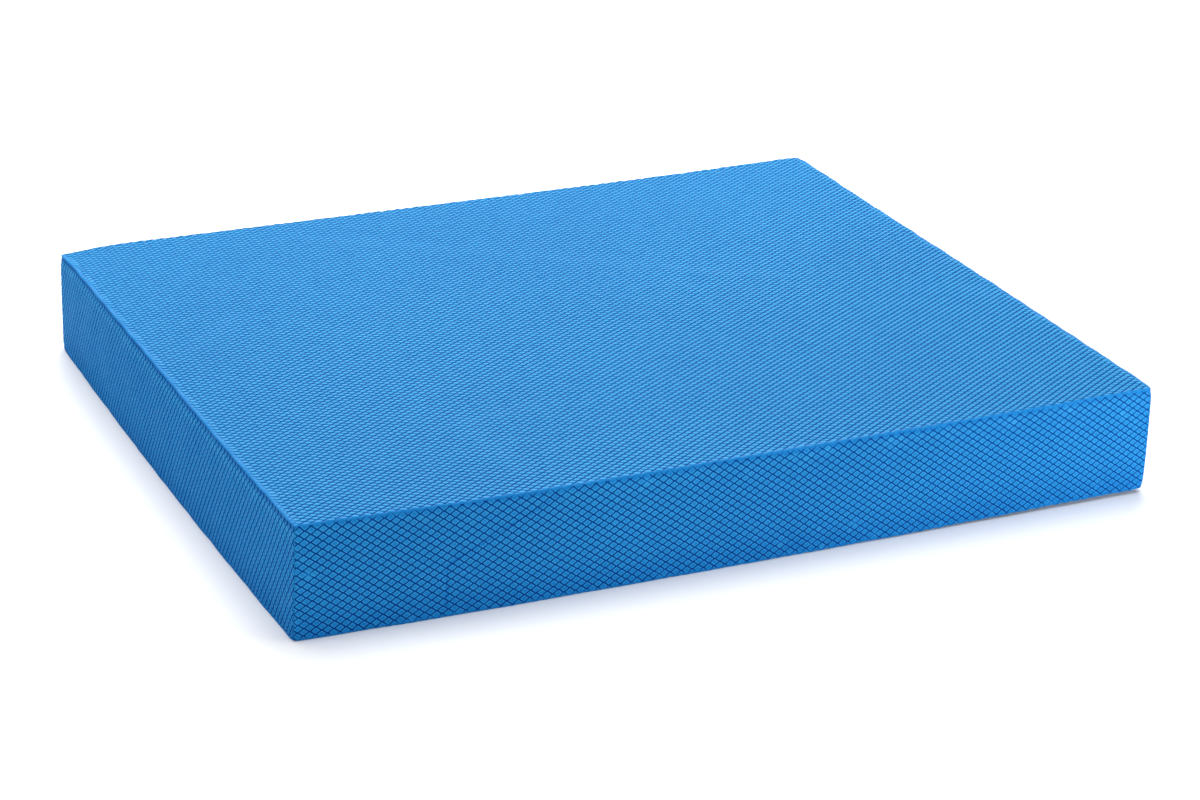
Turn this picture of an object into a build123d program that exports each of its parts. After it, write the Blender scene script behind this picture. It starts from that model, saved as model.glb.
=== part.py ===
from build123d import *
import os

# A rectangular foam balance pad, lying on its underside.
# X runs along the long side, Y towards the rear, Z up. The origin is the middle of the underside.

# Driving dimensions, in millimetres.
length = 480
width = 400
thickness = 60
sheet = 1  # the embossed foam sheet that wraps the core
slab_names = ["core_bottom_slab", "core_lower_slab", "core_upper_slab", "core_top_slab"]

corner_radius = 1.5  # the upright corners, in plan
edge_radius = 0.8  # where the top and bottom sheets are rolled over at their rims

core_length = length - 2 * sheet
core_width = width - 2 * sheet
core_height = thickness - 2 * sheet
slab = core_height / len(slab_names)

os.makedirs("parts", exist_ok=True)


def save(part, name):
    """Label a finished piece and write it as its own STEP file."""
    part.label = name
    export_step(part, f"parts/{name}.step")


# The top sheet lies over the core and over the upper edges of the side sheets. Its rim is
# rolled over and sealed to them.
with BuildPart() as top_skin:
    with BuildSketch(Plane.XY.offset(thickness - sheet)):
        RectangleRounded(length, width, corner_radius)
    extrude(amount=sheet)
    fillet(top_skin.faces().sort_by(Axis.Z)[-1].edges(), edge_radius)
save(top_skin.part, "top_skin")

# The bottom sheet is the same piece the other way up.
with BuildPart() as bottom_skin:
    with BuildSketch(Plane.XY):
        RectangleRounded(length, width, corner_radius)
    extrude(amount=sheet)
    fillet(bottom_skin.faces().sort_by(Axis.Z)[0].edges(), edge_radius)
save(bottom_skin.part, "bottom_skin")


def side_skin(name, run, across, turn):
    """One side sheet, as long as its side and mitred at both ends where it is sealed to the next.

    It is drawn as the front sheet of a pad that measures run by across, and turned to its side.
    """
    outer_x = run / 2
    outer_y = -across / 2
    inner_x = outer_x - sheet
    inner_y = outer_y + sheet
    with BuildPart() as side:
        with BuildSketch(Plane.XY.offset(sheet).rotated((0, 0, turn))):
            RectangleRounded(run, across, corner_radius)
            with BuildLine():
                Polyline(
                    (-outer_x, outer_y),
                    (outer_x, outer_y),
                    (inner_x, inner_y),
                    (-inner_x, inner_y),
                    close=True,
                )
            make_face(mode=Mode.INTERSECT)
        extrude(amount=core_height)
    save(side.part, name)


side_skin("front_skin", length, width, 0)
side_skin("right_skin", width, length, 90)
side_skin("rear_skin", length, width, 180)
side_skin("left_skin", width, length, 270)

# The core is a stack of equal slabs, heat-bonded face to face.
for level, name in enumerate(slab_names):
    with BuildPart() as core_slab:
        with BuildSketch(Plane.XY.offset(sheet + level * slab)):
            Rectangle(core_length, core_width)
        extrude(amount=slab)
    save(core_slab.part, name)
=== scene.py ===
import math
from collections import namedtuple

import bmesh
import bpy
import numpy as np
from mathutils import Matrix, Vector
from mathutils.geometry import delaunay_2d_cdt


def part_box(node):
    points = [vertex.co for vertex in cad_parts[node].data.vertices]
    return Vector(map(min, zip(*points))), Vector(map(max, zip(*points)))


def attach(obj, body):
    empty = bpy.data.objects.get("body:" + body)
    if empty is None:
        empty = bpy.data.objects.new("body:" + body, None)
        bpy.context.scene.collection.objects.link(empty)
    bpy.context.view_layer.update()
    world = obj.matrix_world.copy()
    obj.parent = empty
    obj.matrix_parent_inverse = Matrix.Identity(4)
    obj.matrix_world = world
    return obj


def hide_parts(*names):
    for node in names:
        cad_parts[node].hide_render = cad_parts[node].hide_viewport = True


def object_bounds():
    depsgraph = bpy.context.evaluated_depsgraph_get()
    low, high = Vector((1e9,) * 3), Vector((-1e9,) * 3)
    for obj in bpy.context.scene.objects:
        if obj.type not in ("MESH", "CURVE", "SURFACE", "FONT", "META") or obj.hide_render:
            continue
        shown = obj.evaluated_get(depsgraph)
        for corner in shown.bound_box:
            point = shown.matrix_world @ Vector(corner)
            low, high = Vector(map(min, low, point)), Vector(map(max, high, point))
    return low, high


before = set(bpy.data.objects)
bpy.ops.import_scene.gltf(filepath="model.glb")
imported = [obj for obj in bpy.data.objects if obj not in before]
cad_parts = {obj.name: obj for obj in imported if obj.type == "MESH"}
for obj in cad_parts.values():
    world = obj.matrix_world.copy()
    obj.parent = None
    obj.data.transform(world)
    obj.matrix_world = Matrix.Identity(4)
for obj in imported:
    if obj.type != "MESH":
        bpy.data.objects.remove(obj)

# A foam balance pad: a laminated core, wrapped in six foam sheets embossed with small raised
# diamonds. X runs along the long side, Y towards the rear, Z up, and the origin is the middle of
# the underside. Each embossed sheet is one closed mesh: its diamonds, its rounded rim and its back.
# u and v are a sheet's own directions, along its longer and its shorter side.

MM = 0.001
DEGREE = math.pi / 180

cad_low, cad_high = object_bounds()
HALF_LENGTH, HALF_WIDTH, THICKNESS = cad_high
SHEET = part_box("bottom_skin")[1].z  # thickness of the embossed sheets
EDGE = 0.65 * MM  # radius of the rolled rims of the top and bottom sheets
RIM = 0.68 * MM  # how far a rolled rim reaches down a side, to the seam
CORNER = 1.5 * MM  # radius of the upright corners, in plan
SEAM = 0.12 * MM  # radius of a side sheet's edge at the seam
X, Y, Z = np.eye(3)

# ---------------------------------------------------------------- the embossing, laid out flat

# row goes from one diamond to the next in its row, and column from one row to the next but one.
# rings lists, from the groove inwards, each ring's size and how high it stands (0 to 1). middle is
# the height of a dished diamond's middle, and None on a flat one.
Embossing = namedtuple("Embossing", "row column depth rings middle")
DISH = 0.09 * MM  # how far the diamonds of the side sheets sink in the middle


def dished(row, column, depth):
    """The embossing of a side sheet."""
    rings = ((0.92, 0.05), (0.76, 0.88), (0.66, 1.0), (0.50, 1 - 0.8 * DISH / depth))
    return Embossing(row, column, depth, rings, 1 - DISH / depth)


BROAD = Embossing((6.14 * MM, 0.02 * MM), (0.0, 3.73 * MM), 0.78 * MM, ((0.70, 1.0),), None)
LONG = dished((6.12 * MM, -0.17 * MM), (0.25 * MM, 4.03 * MM), 0.42 * MM)
SHORT = dished((4.24 * MM, 0.01 * MM), (-0.25 * MM, 5.95 * MM), 0.76 * MM)

ACUTE, OBTUSE = 0.93, 1.04  # how far a diamond's corners reach, as a share of its ring's size
GRID_WOBBLE = 0.10 * MM  # how far the embossing wanders from a true grid
HEIGHT_SPREAD = 0.05  # spread of the diamonds' height, as a share of it


def wobble(points):
    """Shifts points in the plane by a smooth, slow wave."""
    u, v = points[:, 0] / MM, points[:, 1] / MM
    shift = np.stack(
        [
            np.sin(u / 31 + v / 19 + 1.0) + 0.6 * np.sin(u / 13 - v / 23),
            np.sin(u / 27 - v / 17 + 2.0) + 0.6 * np.sin(u / 17 + v / 11),
        ],
        axis=1,
    )
    points[:, :2] += GRID_WOBBLE * shift


def cells(u, v, embossing):
    """1 in the middle of each diamond of some embossing, -1 where its grooves cross."""
    row, column = np.array(embossing.row), np.array(embossing.column)
    lattice = np.stack([(row + column) / 2, (row - column) / 2], axis=1)
    return np.cos(2 * math.pi * np.linalg.solve(lattice, np.stack([u, v]))).mean(axis=0)


def diamonds(embossing, half_u, half_v, seed):
    """Raised diamonds over a rectangle and a little beyond it.

    Returns the points (u, v, height from 0 to 1), the faces, and the number of groove crossings,
    which are the first of the points.
    """
    row, column = np.array(embossing.row), np.array(embossing.column)
    first, second = (row + column) / 2, (row - column) / 2
    corners = np.array([(a * half_u, b * half_v) for a in (-1, 1) for b in (-1, 1)])
    reach = np.linalg.solve(np.stack([first, second], axis=1), corners.T)
    low = np.floor(reach.min(axis=1)).astype(int) - 1
    high = np.ceil(reach.max(axis=1)).astype(int) + 2
    i, j = np.meshgrid(np.arange(low[0], high[0]), np.arange(low[1], high[1]), indexing="ij")
    centre = i[..., None] * first + j[..., None] * second
    over = (abs(row) + abs(column)) / 2
    kept = (abs(centre[..., 0]) < half_u + over[0]) & (abs(centre[..., 1]) < half_v + over[1])
    i, j, centre = i[kept], j[kept], centre[kept]
    count = len(centre)

    # The four corners of each diamond, anticlockwise from its left, where the grooves cross.
    stride = high[1] - low[1] + 1
    corner_i = np.stack([i, i, i + 1, i + 1], axis=1) - low[0]
    corner_j = np.stack([j, j + 1, j + 1, j], axis=1) - low[1]
    keys, outline = np.unique(corner_i * stride + corner_j, return_inverse=True)
    outline = outline.reshape(count, 4)
    crossing = (
        (keys // stride + low[0])[:, None] * first
        + (keys % stride + low[1])[:, None] * second
        - row / 2
    )
    points = [np.column_stack([crossing, np.zeros(len(crossing))])]
    stretch = (ACUTE, OBTUSE) if np.linalg.norm(row) > np.linalg.norm(column) else (OBTUSE, ACUTE)
    to_side, to_tip = stretch[0] * row / 2, stretch[1] * column / 2
    spokes = np.stack([-to_side, -to_tip, to_side, to_tip])
    random = np.random.default_rng(seed)
    faces = []
    total = len(crossing)
    for size, height in embossing.rings:
        ring = (centre[:, None, :] + size * spokes).reshape(-1, 2)
        heights = height * (1 + HEIGHT_SPREAD * random.uniform(-1, 1, len(ring)))
        points.append(np.column_stack([ring, heights]))
        inner = total + np.arange(4 * count).reshape(count, 4)
        for k in range(4):
            n = (k + 1) % 4
            faces.append(
                np.stack([outline[:, k], outline[:, n], inner[:, n], inner[:, k]], axis=1)
            )
        outline = inner
        total += 4 * count
    if embossing.middle:
        points.append(np.column_stack([centre, np.full(count, embossing.middle)]))
        middle = total + np.arange(count)
        for k in range(4):
            faces.append(np.stack([outline[:, k], outline[:, (k + 1) % 4], middle], axis=1))
    else:
        faces.append(outline)
    points = np.concatenate(points)
    wobble(points)
    return points, [f for block in faces for f in block.tolist()], len(crossing)


ON_LINE = 0.04 * MM  # points of the flat sheet this near to a cut count as on it
# How far from a line the faces are looked through for what it cuts.
TRIM_REACH, CORNER_REACH, SCORE_REACH = 12 * MM, 3 * MM, 3 * MM
CORNER_CUTS = (22.5, 45, 67.5)  # the angles of the lines that round a corner, in degrees


def cut(bm, faces, point, normal, drop_outside):
    """Cuts some faces of the flat sheet along a line, and drops what lies outside it if asked to."""
    parts = dict.fromkeys(part for f in faces for part in (f, *f.edges, *f.verts))
    bmesh.ops.bisect_plane(
        bm,
        geom=list(parts),
        dist=ON_LINE,
        plane_co=Vector((*point, 0)),
        plane_no=Vector((*normal, 0)),
        clear_outer=drop_outside,
    )


def trim(bm, point, normal, reach):
    """Drops what lies beyond a line of the flat sheet."""
    at, way = Vector((*point, 0)), Vector((*normal, 0))
    near = [f for f in bm.faces if abs((f.calc_center_median() - at).dot(way)) < reach]
    cut(bm, near, point, normal, True)


def score(bm, start, end, sides=(0,)):
    """Cuts lines along a stretch of the flat sheet, each so far to its side, to bend it there."""
    along = (end - start).normalized()
    across = Vector((-along.y, along.x))
    for side in sides:
        near = []
        for f in bm.faces:
            off = f.calc_center_median().xy - start
            past_end = max(-off.dot(along), off.dot(along) - (end - start).length)
            if abs(off.dot(across)) < SCORE_REACH and past_end < SCORE_REACH:
                near.append(f)
        cut(bm, near, start + side * across, across, False)


def trimmed(points, faces, crossings, half_u, half_v, corner, scores):
    """Trims flat embossing to a rectangle with rounded corners, and scores it.

    Returns the points, the faces and the edges that stay sharp, which run along the grooves.
    """
    mesh = bpy.data.meshes.new("flat_embossing")
    mesh.from_pydata((points * (1, 1, MM)).tolist(), [], faces, shade_flat=False)
    ends = np.empty(2 * len(mesh.edges), int)
    mesh.edges.foreach_get("vertices", ends)
    along_groove = (ends.reshape(-1, 2) < crossings).all(axis=1)
    mesh.attributes.new("sharp_edge", "BOOLEAN", "EDGE").data.foreach_set("value", along_groove)
    bm = bmesh.new()
    bm.from_mesh(mesh)
    trims = []
    for sign in (-1, 1):
        trims.append(((sign * half_u, 0), (sign, 0), TRIM_REACH))
        trims.append(((0, sign * half_v), (0, sign), TRIM_REACH))
    if corner:
        for su in (-1, 1):
            for sv in (-1, 1):
                for angle in CORNER_CUTS:
                    way = (su * math.cos(angle * DEGREE), sv * math.sin(angle * DEGREE))
                    edge_u = su * (half_u - corner) + corner * way[0]
                    edge_v = sv * (half_v - corner) + corner * way[1]
                    trims.append(((edge_u, edge_v), way, CORNER_REACH))
    for line in trims:
        trim(bm, *line)
    for line in scores:
        score(bm, *line)
    bm.to_mesh(mesh)
    bm.free()
    co = np.empty(3 * len(mesh.vertices))
    mesh.vertices.foreach_get("co", co)
    co = co.reshape(-1, 3) / (1, 1, MM)
    for point, normal, _ in trims:
        off = (co[:, :2] - point) @ normal
        at_line = abs(off) < 1.1 * ON_LINE
        co[at_line, :2] -= off[at_line, None] * normal
    ends = np.empty(2 * len(mesh.edges), int)
    mesh.edges.foreach_get("vertices", ends)
    sharp = np.zeros(len(mesh.edges), bool)
    mesh.attributes["sharp_edge"].data.foreach_get("value", sharp)
    faces = [list(p.vertices) for p in mesh.polygons]
    bpy.data.meshes.remove(mesh)
    return co, faces, ends.reshape(-1, 2)[sharp]


def outline_of(faces):
    """The points round the outer edge of some faces, in order, anticlockwise."""
    ways = {(f[k - 1], f[k]) for f in faces for k in range(len(f))}
    after = {a: b for a, b in ways if (b, a) not in ways}
    loop = [min(after)]
    while after[loop[-1]] != loop[0]:
        loop.append(after[loop[-1]])
    assert len(loop) == len(after), "the sheet's edge is in more than one piece"
    return np.array(loop)


def outward(loop_points):
    """At each point of an anticlockwise loop, the way out of it, as long as keeps its sides parallel."""
    along = np.roll(loop_points, -1, axis=0) - loop_points
    normal = np.stack([along[:, 1], -along[:, 0]], axis=1)
    normal /= np.linalg.norm(normal, axis=1)[:, None]
    before = np.roll(normal, 1, axis=0)
    return (before + normal) / (1 + (before * normal).sum(axis=1))[:, None]


# ---------------------------------------------------------------- the pad's own shape

# The foam isn't a true block. Its sides bow out along their length and bulge between the seams, and
# some corners are pushed out of place.
BOW_FRONT, BOW_REAR, BOW_RIGHT = 1.0 * MM, -0.4 * MM, 2.1 * MM
BOW_LEFT_TOP, BOW_LEFT_FOOT = -0.4 * MM, 2.3 * MM
BULGE, BULGE_LEFT = 0.45 * MM, 1.0 * MM
# (the corner's signs along X and Y, and 1 for the top or 0 for the foot), push, reach
PUSHES = (
    ((-1, -1, 1), (0, 0, 2.1 * MM), 70 * MM),
    ((1, -1, 1), (0, 0, 0.5 * MM), 70 * MM),
    ((1, -1, 0), (0, 0, 2.0 * MM), 125 * MM),
    ((-1, -1, 0), (0, 2.0 * MM, 0), 65 * MM),
    ((1, 1, 1), (0, 0, 1.3 * MM), 70 * MM),
    ((-1, 1, 1), (0.7 * MM, 0, 0.1 * MM), 40 * MM),
    ((-1, 1, 1), (0, 0, -2.1 * MM), 22 * MM),
)
BLUNTED, BLUNT_REACH = 0.4 * MM, 3.5 * MM  # how far each corner is pushed in
SEAM_WANDER = 0.16 * MM  # how far the upper and lower seams wander from a straight line
SCALLOP = 0.25 * MM  # how far they dip at each diamond of the side sheets
SIDE_WANDER = 0.12 * MM  # how far the sides wander
WANDER_INWARDS, WANDER_UPRIGHT = 4 * MM, 2 * MM  # how far from a side and a seam this is felt
# How far the side sheets are drawn in at their upper seam, and how far below it that is felt.
PINCH, LEFT_PINCH, PINCH_REACH = 0.15 * MM, 0.9 * MM, 4.5 * MM


def near_to(away, reach):
    """1 at no distance, falling smoothly to nothing beyond reach."""
    return np.exp(-((away / reach) ** 2))


def settle(points, fine=True):
    """Moves points of the true block to where the soft pad's are, with or without its fine waves."""
    x, y, z = points.T
    s, t, w = x / HALF_LENGTH, y / HALF_WIDTH, z / THICKNESS
    bow_x = 1 - np.clip(t, -1, 1) ** 2
    bow_y = 1 - np.clip(s, -1, 1) ** 2
    bulge = 1 - (2 * w - 1) ** 2
    left = (BOW_LEFT_FOOT + (BOW_LEFT_TOP - BOW_LEFT_FOOT) * w + BULGE_LEFT * bulge) * bow_x
    right = BOW_RIGHT * bow_x + BULGE * bulge
    front = BOW_FRONT * bow_y + BULGE * bulge
    dx = np.where(s < 0, -left, right) * abs(s)
    dy = np.where(t < 0, -front, BOW_REAR * bow_y) * abs(t)
    moved = np.stack([dx, dy, np.zeros(len(points))], axis=1)
    for (side_x, side_y, top), push, reach in PUSHES:
        away = np.hypot(x - side_x * HALF_LENGTH, y - side_y * HALF_WIDTH)
        moved += ((w if top else 1 - w) * near_to(away, reach))[:, None] * push
    inwards = np.array([HALF_LENGTH, HALF_WIDTH, THICKNESS / 2]) - abs(points - THICKNESS / 2 * Z)
    blunted = BLUNTED * near_to(np.linalg.norm(inwards, axis=1), BLUNT_REACH)
    moved -= blunted[:, None] * np.sign(points - THICKNESS / 2 * Z)

    moved += points
    moved[:, 2] = np.maximum(moved[:, 2], 0)
    if fine:
        moved += fine_waves(x, y, z)
        moved[:, 2] = np.maximum(moved[:, 2], 0)
    return moved


def fine_waves(x, y, z):
    """How far points near the sides are moved, because the seams and sides aren't quite straight."""
    a, b, c = x / MM, y / MM, z / MM
    inside = np.minimum(HALF_LENGTH - abs(x), HALF_WIDTH - abs(y))
    at_side = near_to(np.clip(inside, 0, None), WANDER_INWARDS)
    wave = np.sin(a / 2.7 + np.sin(a / 9)) * np.sin(a / 7 + 1) + np.sin(b / 2.9 + np.sin(b / 8))
    long_way = HALF_LENGTH - abs(x) > HALF_WIDTH - abs(y)
    seam = np.full(len(x), THICKNESS / 2 - RIM)
    dip = np.where(long_way, cells(x, seam, LONG), cells(-y, seam, SHORT))
    at_top = near_to(z - (THICKNESS - SHEET), WANDER_UPRIGHT)
    at_foot = near_to(z - SHEET, WANDER_UPRIGHT)
    wave_x = np.sin(b / 6.3 + 2 * np.sin(c / 17 + b / 41)) * x / HALF_LENGTH
    wave_y = np.sin(a / 7.1 + 2 * np.sin(c / 19 + a / 37)) * y / HALF_WIDTH
    dx, dy = SIDE_WANDER * at_side * wave_x, SIDE_WANDER * at_side * wave_y
    dz = (SEAM_WANDER * wave - SCALLOP * dip) * at_side * (at_top - at_foot)
    return np.stack([dx, dy, dz], axis=1)


# ---------------------------------------------------------------- the embossed sheets

Face = namedtuple("Face", "middle along across out half_u half_v")

mid_height = THICKNESS / 2
FACES = {
    "top": Face(THICKNESS * Z, X, Y, Z, HALF_LENGTH, HALF_WIDTH),
    "bottom": Face(0 * Z, X, -Y, -Z, HALF_LENGTH, HALF_WIDTH),
    "front": Face(mid_height * Z - HALF_WIDTH * Y, X, Z, -Y, HALF_LENGTH, mid_height),
    "rear": Face(mid_height * Z + HALF_WIDTH * Y, -X, Z, Y, HALF_LENGTH, mid_height),
    "left": Face(mid_height * Z - HALF_LENGTH * X, -Y, Z, -X, HALF_WIDTH, mid_height),
    "right": Face(mid_height * Z + HALF_LENGTH * X, Y, Z, X, HALF_WIDTH, mid_height),
}


# A shade says how dark the surface is painted: 0 on the crests, 1 in a groove as deep as DARK_DEPTH,
# where the dark is painted shade.
DARK_DEPTH = BROAD.depth
RIM_SHADE = 0.10
DENT_PAINTED_SHADE = 0.8 / MM  # times the dent's depth: painted shade in the crease
SEAM_PAINTED_SHADE, SEAM_REACH = 0.3 / MM, 1.2 * MM  # times the pinch: painted shade just below the seam, under the overhanging rim
PINCH_PAINTED_LIGHT, PINCH_LIGHT_REACH = 0.06 / MM, 3 * MM  # times the pinch: painted light, a paler band below that, and its reach
FOOT_PAINTED_SHADE, FOOT_REACH = 0.04, 12 * MM  # painted shade, darker towards the foot, and how far up that reaches

# Spots near the seams where the diamonds are melted down.
SPOTS = 90  # to a sheet
SPOT_SPREAD = 3.5 * MM  # how far in from the seam they usually are
SPOT_STRENGTH, SPOT_REACH = (0.3, 0.8), (0.8 * MM, 2.2 * MM)

CREASE_DEPTH, CREASE_REACH = 0.12 * MM, 0.4 * MM  # of the sharp crease in the front sheet
FOLD_SOFTENING, FOLD_REACH = 0.22, 6 * MM  # an old fold flattens the diamonds a little

NO_BEND = math.inf  # the bend_from of a sheet that stays flat
BACK_SPACING = 12 * MM  # of the points that fill a sheet's back
RING_INSET, RING_SPACING = 3 * MM, 2 * MM  # and of a ring round them, to follow the wandering seams
BACK_INSET = 0.4 * MM  # how far the backs of the top and bottom sheets stay inside the pad's sides


def quarter_round(radius, turns):
    """Rows round a quarter turn, as (out, down, shade), at some angles, each with its shade."""
    return [
        (radius * math.sin(a * DEGREE), radius * (1 - math.cos(a * DEGREE)), shade)
        for a, shade in turns
    ]


# The rolled rim of the top and bottom sheets, down to the seam. Its last row, tucked into the seam, is
# painted darker: painted shade in the seam.
ROLLED_RIM = quarter_round(EDGE, ((30, 0.12), (60, 0.10), (90, 0.08)))
ROLLED_RIM += [(EDGE - 0.1 * MM, RIM - 0.02 * MM, 0.3)]
# The edges of a side sheet, rounded into the seam, painted darker the further in they go: painted shade
# in the seam.
SEAM_RIM = quarter_round(SEAM, ((40, 0.12), (90, 0.2)))
SEAM_RIM += [(SEAM - 0.15 * MM, 0.4 * MM, 0.4)]


def lay(face, u, v, height, bend_from):
    """Places flat points on a face, height above it. Past bend_from they bend round the corner."""
    past = np.clip(abs(u) - bend_from, 0, None) / CORNER
    reach = CORNER + height
    along = np.sign(u) * (np.minimum(abs(u), bend_from) + reach * np.sin(past))
    out = reach * np.cos(past) - CORNER
    along, v, out = along[:, None], np.asarray(v)[:, None], out[:, None]
    return face.middle + along * face.along + v * face.across + out * face.out


def grid_in(low, high, spacing):
    """A grid of points that fills a rectangle."""
    steps = np.maximum(((high - low) / spacing).astype(int) + 1, 2)
    lines = [np.linspace(a, b, n) for a, b, n in zip(low, high, steps)]
    return np.stack(np.meshgrid(*lines), axis=-1).reshape(-1, 2)


def back_faces(outline):
    """Triangles that fill a flat outline, with a ring and a grid of points inside it.

    Returns the inner points and the triangles, whose numbers count the outline's points first.
    """
    low, high = outline.min(axis=0), outline.max(axis=0)
    ring = grid_in(low + RING_INSET, high - RING_INSET, RING_SPACING)
    ring = ring[(abs(ring) > high - RING_INSET - ON_LINE).any(axis=1)]
    middle = grid_in(low + BACK_SPACING, high - BACK_SPACING, BACK_SPACING)
    grid = np.concatenate([ring, middle])
    count = len(outline)
    flat = [Vector(p) for p in np.concatenate([outline, grid])]
    round_it = [(k, (k + 1) % count) for k in range(count)]
    _, _, triangles, sources, _, _ = delaunay_2d_cdt(flat, round_it, [], 1, 1e-9)
    return grid, [[sources[k][0] for k in t] for t in triangles]


def run_out(to_edge, fade, left):
    """How deep grooves still are so far from the edge: all of it beyond fade, and left at the edge."""
    share = np.clip(to_edge / fade, 0, 1)
    return left + (1 - left) * share * share * (3 - 2 * share)


def embossed_sheet(name, face, depth, flat, faces, sharp, fades, rim, back, bend_from, marks):
    """Makes one closed sheet from flat embossing with grooves of the given depth.

    fades says how the grooves run out, along and across: how far from the edge they start to, and
    how much of them is left there. rim is the rows round the edge as (out, down, shade) and how much
    of the out counts along and across. back is the half size of the sheet's back, along and across.
    marks gives, at points of the sheet, how much shallower the grooves are (0 to 1), how far the
    surface is sunk, and how much darker it is painted: painted shade, and painted light where below
    zero.
    """
    u, v, height = flat.T
    edge_u, edge_v = abs(u).max(), abs(v).max()
    inside = np.minimum(run_out(edge_u - abs(u), *fades[0]), run_out(edge_v - abs(v), *fades[1]))
    softer, sunk, darker = marks(u, v)
    groove = (1 - height) * inside * (1 - softer)
    placed = [lay(face, u, v, -depth * groove - sunk, bend_from)]
    # Grooves are painted darker the deeper they are: painted shade down in them.
    deep = depth / DARK_DEPTH * groove
    shades = [deep + darker + RIM_SHADE * (1 - inside)]

    loop = outline_of(faces)
    loop_uv = flat[loop, :2]
    way = outward(loop_uv)
    rows, (share_u, share_v) = rim
    ring = loop
    total = len(flat)
    count = len(loop)
    faces = list(faces)
    for out, down, shade in rows:
        spot = loop_uv + out * way * (share_u, share_v)
        _, sunk, darker = marks(*spot.T)
        height = -np.maximum(down, depth * groove[loop]) - sunk
        placed.append(lay(face, *spot.T, height, bend_from))
        shades.append(shade + darker + deep[loop])
        row = total + np.arange(count)
        total += count
        for k in range(count):
            faces.append([ring[k], ring[k - 1], row[k - 1], row[k]])
        ring = row

    # The back: the last row again, at the sheet's full depth, and filled in.
    behind = loop_uv * (back[0] / edge_u, back[1] / edge_v)
    inner, triangles = back_faces(behind)
    behind = np.concatenate([behind, inner])
    _, sunk, _ = marks(*behind.T)
    placed.append(lay(face, *behind.T, -SHEET - sunk, NO_BEND))
    shades.append(np.full(len(behind), RIM_SHADE))
    row = total + np.arange(count)
    for k in range(count):
        faces.append([ring[k], ring[k - 1], row[k - 1], row[k]])
    faces += [[total + k for k in reversed(t)] for t in triangles]
    round_back = np.stack([row, np.roll(row, -1)], axis=1)
    round_rim = np.stack([ring, np.roll(ring, -1)], axis=1)

    points = settle(np.concatenate(placed))
    piece = new_piece(name, points, faces, np.concatenate([sharp, round_back, round_rim]))
    piece.data.attributes.new("shade", "FLOAT", "POINT").data.foreach_set(
        "value", np.concatenate(shades)
    )
    return piece


def new_piece(name, points, faces, sharp=None):
    """A mesh object with smooth faces, apart from its sharp edges, given as pairs of points."""
    mesh = bpy.data.meshes.new(name)
    mesh.from_pydata(points.tolist(), [], faces, shade_flat=False)
    if sharp is not None:
        size = len(points)
        ends = np.empty(2 * len(mesh.edges), int)
        mesh.edges.foreach_get("vertices", ends)
        ends = np.sort(ends.reshape(-1, 2), axis=1) @ (size, 1)
        is_sharp = np.isin(ends, np.sort(sharp, axis=1) @ (size, 1))
        mesh.attributes.new("sharp_edge", "BOOLEAN", "EDGE").data.foreach_set("value", is_sharp)
    mesh.update()
    piece = bpy.data.objects.new(name, mesh)
    bpy.context.scene.collection.objects.link(piece)
    return piece


def along_path(u, v, path, reach):
    """1 on a path of straight runs across a sheet, falling to nothing beyond reach."""
    spot = np.stack([u, v], axis=1)
    nearest = np.full(len(u), 1.0)
    for start, end in zip(path, path[1:]):
        start, run = np.array(start), np.array(end) - np.array(start)
        share = np.clip((spot - start) @ run / (run @ run), 0, 1)
        away = np.linalg.norm(spot - start - share[:, None] * run, axis=1)
        nearest = np.minimum(nearest, away)
    return near_to(nearest, reach)


def melted(u, v, half_u, half_v, seed):
    """How much shallower the grooves are at spots near the seams, where the heat softened them."""
    random = np.random.default_rng(seed)
    softer = np.zeros(len(u))
    for _ in range(SPOTS):
        inwards = random.exponential(SPOT_SPREAD)
        if random.random() < half_u / (half_u + half_v):
            middle = (random.uniform(-half_u, half_u), random.choice((-1, 1)) * (half_v - inwards))
        else:
            middle = (random.choice((-1, 1)) * (half_u - inwards), random.uniform(-half_v, half_v))
        away = np.hypot(u - middle[0], v - middle[1])
        strength, reach = random.uniform(*SPOT_STRENGTH), random.uniform(*SPOT_REACH)
        softer = np.maximum(softer, strength * near_to(away, reach))
    return softer


def broad_sheet(name, face, seed, folds=()):
    """The top or the bottom sheet."""
    half_u, half_v = face.half_u - EDGE, face.half_v - EDGE
    raised = diamonds(BROAD, half_u, half_v, seed)
    flat, faces, sharp = trimmed(*raised, half_u, half_v, CORNER - EDGE, ())
    back = (face.half_u - BACK_INSET, face.half_v - BACK_INSET)
    fades = ((0.25 * MM, 0.0), (0.25 * MM, 0.0))

    def marks(u, v):
        softer = melted(u, v, half_u, half_v, seed)
        for fold in folds:
            softer = np.maximum(softer, FOLD_SOFTENING * along_path(u, v, fold, FOLD_REACH))
        return softer, 0 * u, 0 * u

    rim = (ROLLED_RIM, (1, 1))
    return embossed_sheet(
        name, face, BROAD.depth, flat, faces, sharp, fades, rim, back, NO_BEND, marks
    )


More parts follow.
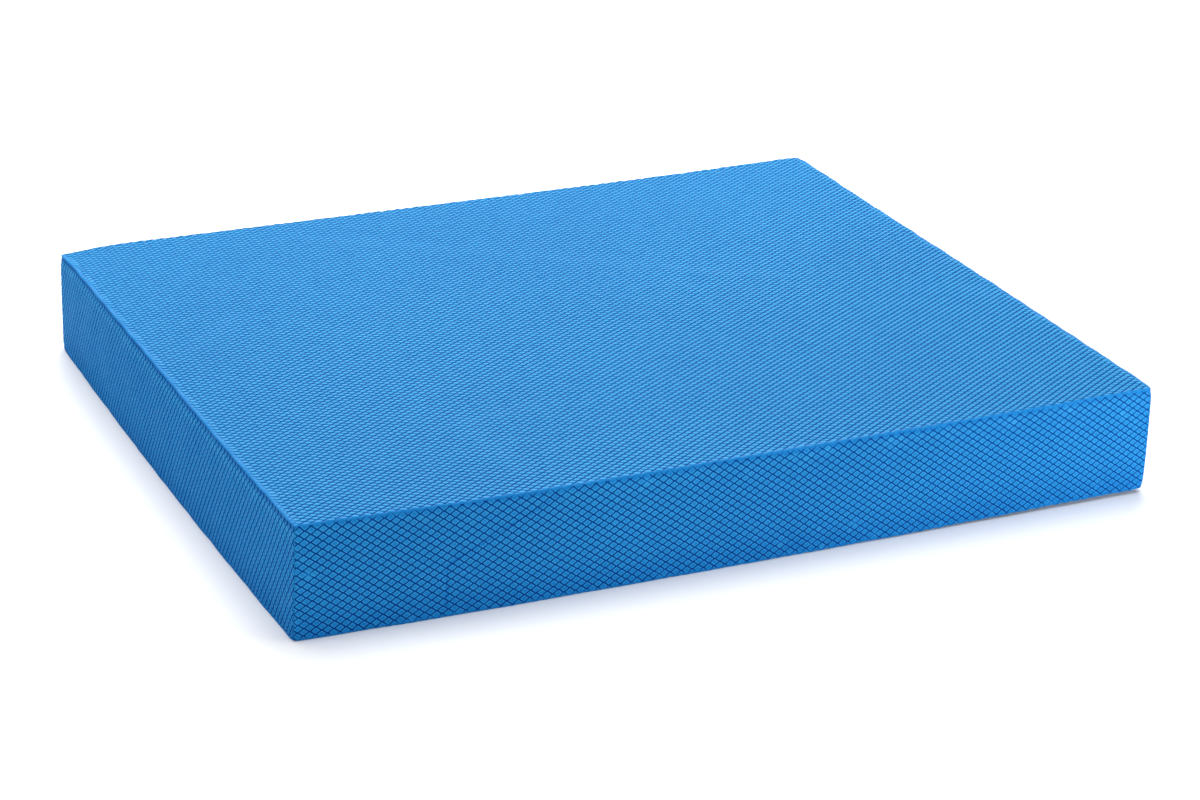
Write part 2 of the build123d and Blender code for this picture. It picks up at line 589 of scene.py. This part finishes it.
def side_sheet(name, face, embossing, seed, pinch, crease=()):
    """A side sheet, from the mitre at one upright corner to the mitre at the other.

    pinch is how far it is drawn in at the upper seam.
    """
    bend_from = face.half_u - CORNER
    half_u = bend_from + CORNER * math.pi / 4
    half_v = face.half_v - RIM - SEAM
    raised = diamonds(embossing, half_u, half_v, seed)
    scores = []
    for sign in (-1, 1):
        for share in (0, 1 / 3, 2 / 3):
            u = sign * (bend_from + share * (half_u - bend_from))
            scores.append((Vector((u, -half_v)), Vector((u, half_v))))
    for start, end in zip(crease, crease[1:]):
        scores.append((Vector(start), Vector(end), (0, -CREASE_REACH, CREASE_REACH)))
    flat, faces, sharp = trimmed(*raised, half_u, half_v, 0, scores)
    back = (face.half_u - SHEET, face.half_v - SHEET)
    fades = ((0.4 * MM, 0.0), (0.5 * MM, 0.2))

    def marks(u, v):
        from_top, from_foot = face.half_v - v, face.half_v + v
        sunk = pinch * near_to(from_top, PINCH_REACH)
        # Painted shade, darker towards the foot.
        darker = FOOT_PAINTED_SHADE * near_to(from_foot, FOOT_REACH)
        # Painted shade just below the seam, under the overhanging rim.
        darker += SEAM_PAINTED_SHADE * pinch * near_to(from_top - RIM - SEAM_REACH, SEAM_REACH)
        # Painted light: a paler band lower down the pinched slope.
        darker -= PINCH_PAINTED_LIGHT * pinch * near_to(from_top - PINCH_REACH, PINCH_LIGHT_REACH)
        if crease:
            dent = CREASE_DEPTH * along_path(u, v, crease, CREASE_REACH)
            sunk += dent
            # Painted shade in the crease.
            darker += DENT_PAINTED_SHADE * dent
        return melted(u, v, half_u, half_v, seed), sunk, darker

    rim = (SEAM_RIM, (0, 1))
    return embossed_sheet(
        name, face, embossing.depth, flat, faces, sharp, fades, rim, back, bend_from, marks
    )


# ---------------------------------------------------------------- materials


def srgb(red, green, blue):
    """A colour from its 0 to 255 values, as the linear one that shaders use."""
    part = np.array((red, green, blue)) / 255
    linear = np.where(part <= 0.04045, part / 12.92, ((part + 0.055) / 1.055) ** 2.4)
    return (*linear.tolist(), 1.0)


class Shader:
    """A material's nodes, added one by one."""

    def __init__(self, name):
        self.material = bpy.data.materials.new(name)
        self.material.use_nodes = True
        self.tree = self.material.node_tree
        self.surface = self.tree.nodes["Principled BSDF"]
        self.place = self.add("ShaderNodeTexCoord").outputs["Object"]

    def add(self, kind, links=(), **settings):
        node = self.tree.nodes.new(kind)
        for key, value in settings.items():
            setattr(node, key, value)
        for socket, value in dict(links).items():
            self.feed(node.inputs[socket], value)
        return node

    def feed(self, socket, value):
        if isinstance(value, bpy.types.NodeSocket):
            self.tree.links.new(value, socket)
        else:
            socket.default_value = value

    def noise(self, scale, detail=2.0):
        """Noise from 0 to 1, with scale waves to the metre."""
        links = {"Vector": self.place, "Scale": scale, "Detail": detail}
        return self.add("ShaderNodeTexNoise", links).outputs["Fac"]

    def scaled(self, value, low, high, new_low, new_high, smooth=False):
        """value moved from one range to another, and held inside it."""
        links = {0: value, 1: low, 2: high, 3: new_low, 4: new_high}
        kind = "SMOOTHSTEP" if smooth else "LINEAR"
        return self.add("ShaderNodeMapRange", links, interpolation_type=kind).outputs[0]

    def mix(self, share, first, second, blend="MIX"):
        node = self.add("ShaderNodeMix", data_type="RGBA", blend_type=blend)
        by_name = {socket.identifier: socket for socket in node.inputs}
        self.feed(by_name["Factor_Float"], share)
        self.feed(by_name["A_Color"], first)
        self.feed(by_name["B_Color"], second)
        return next(o for o in node.outputs if o.identifier == "Result_Color")

    def bump(self, height, distance, below=None):
        links = {"Height": height, "Distance": distance}
        if below:
            links["Normal"] = below
        return self.add("ShaderNodeBump", links).outputs["Normal"]


# Linear colours, from 0 to 1.
# The crest colour is paler than the flat one: a painted highlight on the crests.
SKIN_CREST_HIGHLIGHT = (0.036, 0.310, 0.61, 1)
SKIN_FLAT = (0.009, 0.196, 0.53, 1)
# The groove colour is painted shade down in the grooves, and also the darker tone of the random
# mottling.
SKIN_GROOVE_SHADE_AND_MOTTLE = (0.0, 0.035, 0.22, 1)


def skin_material():
    """Embossed foam skin: satin blue, with a painted highlight on the diamonds' crests and painted shade
    down in the grooves.
    """
    s = Shader("embossed_foam_skin")
    shade = s.add("ShaderNodeAttribute", attribute_name="shade").outputs["Fac"]
    # Painted highlight: the crests are paler than the flat colour.
    raised = s.mix(s.scaled(shade, 0.0, 0.12, 0.0, 1.0), SKIN_CREST_HIGHLIGHT, SKIN_FLAT)
    raised = s.mix(s.scaled(s.noise(9.0), 0.3, 0.7, 0.0, 0.10), raised, SKIN_GROOVE_SHADE_AND_MOTTLE)
    raised = s.mix(s.scaled(s.noise(700.0), 0.3, 0.7, 0.0, 0.12), raised, SKIN_GROOVE_SHADE_AND_MOTTLE)
    # Painted shade: the grooves turn towards the groove colour.
    colour = s.mix(s.scaled(shade, 0.05, 0.50, 0.0, 1.0, smooth=True), raised, SKIN_GROOVE_SHADE_AND_MOTTLE)
    s.feed(s.surface.inputs["Base Color"], colour)
    s.feed(s.surface.inputs["Roughness"], s.scaled(s.noise(450.0), 0.3, 0.7, 0.46, 0.58))
    s.surface.inputs["Specular IOR Level"].default_value = 0.03
    s.feed(s.surface.inputs["Normal"], s.bump(s.noise(1600.0, 3.0), 0.03 * MM))
    return s.material


def core_material():
    """Cut closed-cell foam: matt blue, with the cells that the knife opened, painted darker in their
    pits as painted shade.
    """
    s = Shader("cut_core_foam")
    cells = s.add("ShaderNodeTexVoronoi", {"Vector": s.place, "Scale": 900.0}).outputs["Distance"]
    body = s.mix(s.scaled(s.noise(12.0), 0.3, 0.7, 0.0, 1.0), srgb(70, 150, 214), srgb(86, 164, 224))
    # Painted shade in the opened cells' pits.
    colour = s.mix(s.scaled(cells, 0.1, 0.6, 0.35, 0.0), body, srgb(24, 96, 170))
    s.feed(s.surface.inputs["Base Color"], colour)
    s.feed(s.surface.inputs["Roughness"], s.scaled(cells, 0.0, 0.6, 0.9, 0.75))
    s.feed(s.surface.inputs["Normal"], s.bump(cells, 0.15 * MM))
    return s.material


# ---------------------------------------------------------------- the core


GAP = 0.05 * MM  # round each slab
SLAB_EASE = 2 * MM  # radius of its edges
SLAB_SPACING = 9 * MM  # about the distance between its points
DRAWN_IN = 4 * SHEET  # how far in from the pad's sides its points are drawn in


def draw_in(points):
    """Draws the core's sides in near the upper seams, as far as the sheets over them are."""
    x, y, z = points.T
    pinch = near_to(THICKNESS - z, PINCH_REACH)
    at_end, at_side = HALF_LENGTH - abs(x) < DRAWN_IN, HALF_WIDTH - abs(y) < DRAWN_IN
    points[:, 0] -= at_end * np.sign(x) * np.where(x < 0, LEFT_PINCH, PINCH) * pinch
    points[:, 1] -= at_side * np.sign(y) * PINCH * pinch


def core_slab(name, node):
    """One slab of the core, with eased edges, in the pad's own shape."""
    low, high = (np.array(c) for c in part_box(node))
    middle, half = (low + high) / 2, (high - low) / 2 - GAP
    steps = []
    for h in half:
        flat = h - SLAB_EASE
        round_from = h - 0.3 * SLAB_EASE
        inner = np.linspace(-flat, flat, max(int(2 * h / SLAB_SPACING), 1) + 1)
        steps.append(np.array([-h, -round_from, *inner, round_from, h]))
    bm = bmesh.new()
    for axis in range(3):
        a, b = (axis + 1) % 3, (axis + 2) % 3
        for side in (-1, 1):
            made = []
            for p in steps[a]:
                line = []
                for q in steps[b]:
                    spot = np.zeros(3)
                    spot[axis], spot[a], spot[b] = side * half[axis], p, q
                    inside = np.clip(spot, -(half - SLAB_EASE), half - SLAB_EASE)
                    off = spot - inside
                    line.append(bm.verts.new(inside + SLAB_EASE * off / np.linalg.norm(off)))
                made.append(line)
            for i in range(len(made) - 1):
                for j in range(len(made[0]) - 1):
                    quad = [made[i][j], made[i + 1][j], made[i + 1][j + 1], made[i][j + 1]]
                    bm.faces.new(quad if side > 0 else quad[::-1])
    bmesh.ops.remove_doubles(bm, verts=bm.verts[:], dist=0.01 * MM)
    bm.verts.index_update()
    points = np.array([v.co for v in bm.verts]) + middle
    draw_in(points)
    faces = [[v.index for v in f.verts] for f in bm.faces]
    bm.free()
    return new_piece(name, settle(points, fine=False), faces)


# ---------------------------------------------------------------- the pieces

# A crease in the front sheet: up from near its foot, then slanting to its upper edge.
FRONT_CREASE = ((-162 * MM, -25 * MM), (-162 * MM, -2 * MM), (-104 * MM, 26 * MM))
# Old folds across the top sheet.
TOP_FOLDS = (
    ((-95 * MM, 169 * MM), (130 * MM, 19 * MM)),
    ((-178 * MM, 66 * MM), (-225 * MM, 23 * MM)),
    ((-115 * MM, -175 * MM), (-119 * MM, -110 * MM), (-72 * MM, -104 * MM)),
)

skin, core = skin_material(), core_material()
SHEETS = {
    "top_skin": broad_sheet("embossed_top_sheet", FACES["top"], 1, TOP_FOLDS),
    "bottom_skin": broad_sheet("embossed_bottom_sheet", FACES["bottom"], 2),
    "front_skin": side_sheet("embossed_front_sheet", FACES["front"], LONG, 3, PINCH, FRONT_CREASE),
    "rear_skin": side_sheet("embossed_rear_sheet", FACES["rear"], LONG, 4, PINCH),
    "left_skin": side_sheet("embossed_left_sheet", FACES["left"], SHORT, 5, LEFT_PINCH),
    "right_skin": side_sheet("embossed_right_sheet", FACES["right"], SHORT, 6, PINCH),
}
SLABS = {
    node: core_slab(node.replace("core_", "foam_core_"), node)
    for node in sorted(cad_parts)
    if node.startswith("core_")
}
for made, material, slot in ((SHEETS, skin, "embossed_sheet"), (SLABS, core, "core_foam")):
    for node, piece in made.items():
        piece.data.materials.append(material)
        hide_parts(node)
        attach(piece, "root")

# ---------------------------------------------------------------- floor, lights and camera


def floor():
    """A wide white floor."""
    reach = 15
    corners = [(-reach, -reach), (reach, -reach), (reach, reach), (-reach, reach)]
    points = np.array([(*corner, -0.05 * MM) for corner in corners])
    ground = new_piece("floor", points, [[0, 1, 2, 3]])
    s = Shader("studio_floor")
    colour = s.mix(s.noise(3.0), (0.94, 0.94, 0.94, 1), (0.96, 0.96, 0.96, 1))
    s.feed(s.surface.inputs["Base Color"], colour)
    s.surface.inputs["Roughness"].default_value = 0.9
    ground.data.materials.append(s.material)


def softbox(name, place, size, power):
    """A rectangular area light at place, turned to the pad. The camera doesn't see it."""
    light = bpy.data.lights.new(name, "AREA")
    light.shape, light.energy = "RECTANGLE", power
    light.size, light.size_y = size
    lamp = bpy.data.objects.new(name, light)
    lamp.location = place
    lamp.rotation_euler = Vector(place).to_track_quat("Z", "Y").to_euler()
    lamp.visible_camera = False
    bpy.context.scene.collection.objects.link(lamp)


def studio():
    floor()
    softbox("overhead_softbox", (-0.05, 0.15, 2.4), (1.8, 1.8), 52)
    softbox("left_softbox", (-1.3, -0.2, 0.7), (0.8, 0.4), 6)
    softbox("right_softbox", (0.68, -0.8, 0.12), (0.4, 0.2), 7)
    softbox("rear_softbox", (0.45, 1.0, 0.65), (1.5, 0.5), 22)
    world = bpy.data.worlds.new("studio")
    world.use_nodes = True
    world.node_tree.nodes["Background"].inputs["Color"].default_value = (1, 1, 1, 1)
    world.node_tree.nodes["Background"].inputs["Strength"].default_value = 0.20
    bpy.context.scene.world = world
    bpy.context.scene.view_settings.view_transform = "Standard"


AZIMUTH, ELEVATION, ROLL = -25.34 * DEGREE, 23.09 * DEGREE, 1.75 * DEGREE
DISTANCE, ASIDE, ABOVE = 1.774, 0.0109, 0.0093  # from the origin, and off the line through it
LENS = 95.3  # millimetres, on a 36 mm sensor


def camera():
    back = Vector(
        (
            math.sin(AZIMUTH) * math.cos(ELEVATION),
            -math.cos(AZIMUTH) * math.cos(ELEVATION),
            math.sin(ELEVATION),
        )
    )
    right = Vector((0, 0, 1)).cross(back).normalized()
    up = back.cross(right)
    turned = math.cos(ROLL) * right + math.sin(ROLL) * up
    up = back.cross(turned)
    lens = bpy.data.cameras.new("camera")
    lens.lens, lens.sensor_width = LENS, 36
    eye = bpy.data.objects.new("camera", lens)
    place = DISTANCE * back + ASIDE * turned + ABOVE * up
    axes = Matrix((turned, up, back)).transposed().to_4x4()
    eye.matrix_world = Matrix.Translation(place) @ axes
    bpy.context.scene.collection.objects.link(eye)
    bpy.context.scene.camera = eye


studio()
camera()
